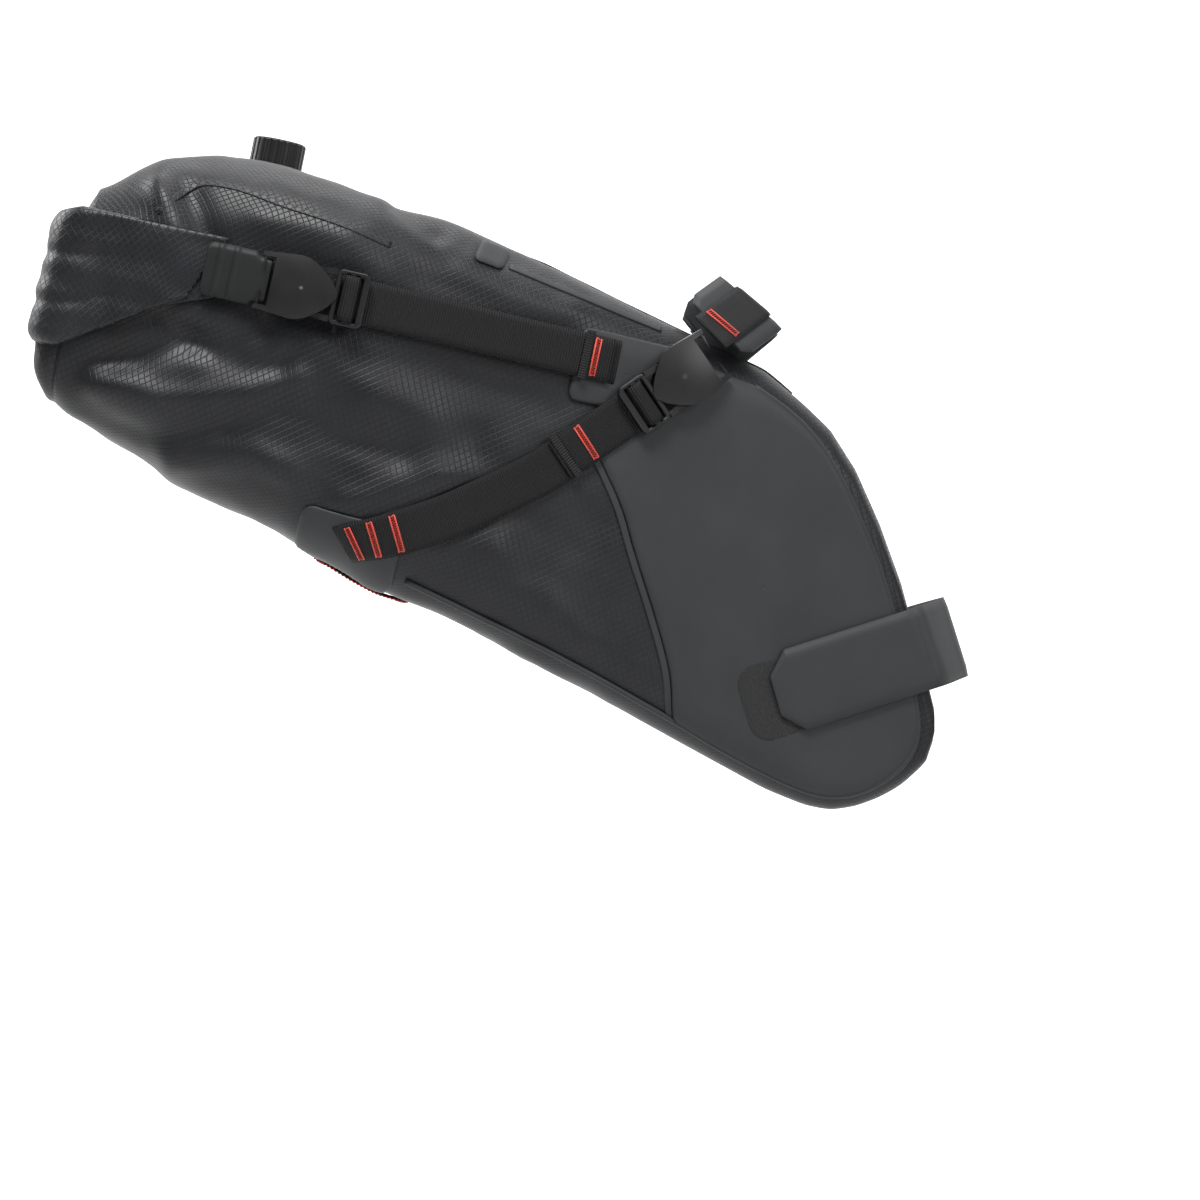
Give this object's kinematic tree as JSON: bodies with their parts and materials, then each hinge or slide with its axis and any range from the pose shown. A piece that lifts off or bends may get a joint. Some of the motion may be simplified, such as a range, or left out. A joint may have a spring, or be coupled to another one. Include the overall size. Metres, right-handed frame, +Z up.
{
  "type": "saddle bag",
  "caption": "Roll-top saddle bag with a tapering waterproof body, side-release compression straps, rail straps, a seatpost strap and an air valve.",
  "frame": {"origin": "centre of the seatpost strap's clamp, on the seatpost's axis", "axes": "+X towards the bike's front, +Y to the bike's left, +Z up"},
  "size_m": [0.4251, 0.1948, 0.3095],
  "materials": {
    "ripstop": "ripstop weave, coated, soft sheen",
    "tpu": "smooth matt laminate",
    "webbing": "ribbed webbing",
    "buckle": "fine grain",
    "thread": "dense stitching",
    "hook_loop": "fuzzy pile",
    "stiffener": "sheet plastic",
    "valve_plastic": "satin",
    "gasket": "matt"
  },
  "bodies": {
    "bag": {"shell_top": "ripstop", "shell_floor": "ripstop", "shell_side_right": "ripstop", "shell_side_left": "ripstop", "base_stiffener": "stiffener", "spine_panel": "tpu", "accessory_loop": "webbing", "bar_tacks": "thread", "strap_keepers": "webbing", "seatpost_strap": "tpu", "loop_patch": "hook_loop", "post_liner": "tpu", "valve_body": "valve_plastic", "valve_gasket": "gasket", "valve_nut": "valve_plastic", "nose_panel_right": "tpu", "nose_panel_left": "tpu", "edge_binding_right": "ripstop", "edge_binding_left": "ripstop", "edge_piping_right": "tpu", "edge_piping_left": "tpu", "upper_anchor_patch_right": "tpu", "upper_anchor_patch_left": "tpu", "lower_anchor_patch_right": "tpu", "lower_anchor_patch_left": "tpu", "top_patch_right": "tpu", "top_patch_left": "tpu", "roll_strap_right": "webbing", "roll_strap_left": "webbing", "roll_tail_right": "webbing", "roll_tail_left": "webbing", "compression_strap_right": "webbing", "compression_strap_left": "webbing", "compression_tail_right": "webbing", "compression_tail_left": "webbing", "rail_pad_right": "tpu", "rail_pad_left": "tpu", "rail_webbing_right": "webbing", "rail_webbing_left": "webbing", "rail_female_buckle_right": "buckle", "rail_female_buckle_left": "buckle"},
    "closure": {"closure_band": "ripstop", "closure_stiffeners": "stiffener", "closure_tab_right": "tpu", "closure_tab_left": "tpu", "roll_female_buckle_right": "buckle", "roll_female_buckle_left": "buckle"},
    "seatpost_flap": {"seatpost_flap": "tpu", "hook_pad": "hook_loop"},
    "valve_stem": {"valve_stem": "valve_plastic"},
    "valve_cap": {"valve_cap": "valve_plastic"},
    "roll_buckle_right": {"roll_male_buckle_right": "buckle", "roll_strap_turn_right": "webbing"},
    "rail_buckle_right": {"rail_male_buckle_right": "buckle", "rail_strap_turn_right": "webbing"},
    "roll_buckle_left": {"roll_male_buckle_left": "buckle", "roll_strap_turn_left": "webbing"},
    "rail_buckle_left": {"rail_male_buckle_left": "buckle", "rail_strap_turn_left": "webbing"}
  },
  "joints": [
    {"name": "closure_unroll", "type": "slide", "parent": "bag", "child": "closure", "axis": [-0.9759, 0, 0.2181], "range_m": [0, 0.14]},
    {"name": "roll_buckle_release_right", "type": "slide", "parent": "bag", "child": "roll_buckle_right", "axis": [0.9759, 0, -0.2181], "range_m": [0, 0.022]},
    {"name": "rail_buckle_release_right", "type": "slide", "parent": "bag", "child": "rail_buckle_right", "axis": [-0.7966, -0.2072, -0.5678], "range_m": [0, 0.022]},
    {"name": "roll_buckle_release_left", "type": "slide", "parent": "bag", "child": "roll_buckle_left", "axis": [0.9759, 0, -0.2181], "range_m": [0, 0.022]},
    {"name": "rail_buckle_release_left", "type": "slide", "parent": "bag", "child": "rail_buckle_left", "axis": [-0.7966, 0.2072, -0.5678], "range_m": [0, 0.022]},
    {"name": "seatpost_strap_peel", "type": "hinge", "parent": "bag", "child": "seatpost_flap", "pos_m": [-0.00286, -0.02692, -0.0009], "axis": [-0.299, 0, 0.9542], "range_deg": [0, 90]},
    {"name": "valve_lift", "type": "slide", "parent": "bag", "child": "valve_stem", "axis": [0.1961, 0, 0.9806], "range_m": [0, 0.002]},
    {"name": "valve_turn", "type": "hinge", "parent": "valve_stem", "child": "valve_cap", "pos_m": [-0.3, 0, 0.217], "axis": [0.1961, 0, 0.9806], "range_deg": [0, 180]}
  ],
  "couplings": [
    {"joint": "valve_turn", "follows": "valve_lift", "rad_per_m": 1570.8}
  ]
}
